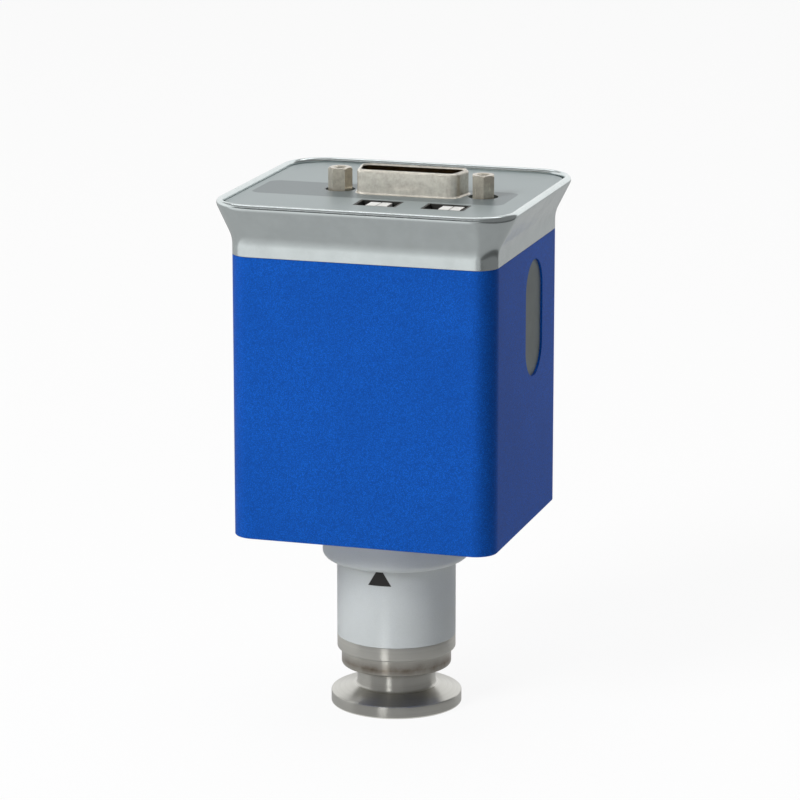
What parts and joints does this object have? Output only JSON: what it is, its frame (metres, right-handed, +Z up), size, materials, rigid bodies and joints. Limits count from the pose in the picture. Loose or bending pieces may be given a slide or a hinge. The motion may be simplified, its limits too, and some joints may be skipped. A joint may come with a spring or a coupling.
{
  "type": "hot cathode ionization gauge",
  "caption": "Hot cathode ionization gauge head: clamped small flange and tubular sensor below a square electronics case with a flared bezel and a signal plug in its top panel.",
  "frame": {"origin": "centre of the flange's sealing face, which is also the middle of the base that the part stands on", "axes": "+Z up along the axis of the sensor tube and case, -Y towards the front, with the lamp windows in front of the plug, and +X to the right, towards the side cover"},
  "size_m": [0.0688, 0.0644, 0.1248],
  "materials": {
    "stainless": "satin",
    "painted_grey": "satin",
    "bead_glass": "gloss",
    "electrode_metal": "satin",
    "black_plastic": "matte",
    "contact_metal": "satin",
    "blue_anodised": "satin",
    "screw_steel": "satin",
    "cover_plastic": "matte",
    "bezel_chrome": "polished",
    "panel_grey": "matte",
    "plated_shell": "satin",
    "white_plastic": "gloss",
    "circuit_board": "satin",
    "iron_core": "matte",
    "copper_winding": "satin",
    "capacitor_can": "satin"
  },
  "bodies": {
    "root": {"kf_flange": "stainless", "sensor_envelope": "stainless", "sensor_housing": "painted_grey", "feedthrough_header": "stainless", "feedthrough_glass": "bead_glass", "collector_wire": "electrode_metal", "grid_coil": "electrode_metal", "grid_posts": "electrode_metal", "filament_front": "electrode_metal", "filament_back": "electrode_metal", "filament_posts": "electrode_metal", "sensor_socket": "black_plastic", "socket_contacts": "contact_metal", "case": "blue_anodised", "collar_screws": "screw_steel", "side_cover": "cover_plastic", "bezel": "bezel_chrome", "top_panel": "panel_grey", "connector_front_shell": "plated_shell", "connector_rear_shell": "plated_shell", "connector_insulator": "black_plastic", "connector_pins": "contact_metal", "jack_posts": "plated_shell", "lamp_frames": "black_plastic", "light_guides": "white_plastic", "lamps": "white_plastic", "sensor_board": "circuit_board", "sensor_board_screws": "screw_steel", "connector_board": "circuit_board", "panel_spacers": "contact_metal", "power_board": "circuit_board", "control_board": "circuit_board", "lower_headers": "black_plastic", "upper_headers": "black_plastic", "transformer_core": "iron_core", "transformer_winding": "copper_winding", "capacitors": "capacitor_can", "power_transistors": "black_plastic", "relays": "white_plastic", "processor": "black_plastic", "small_chips": "black_plastic", "chokes": "iron_core"}
  },
  "joints": []
}
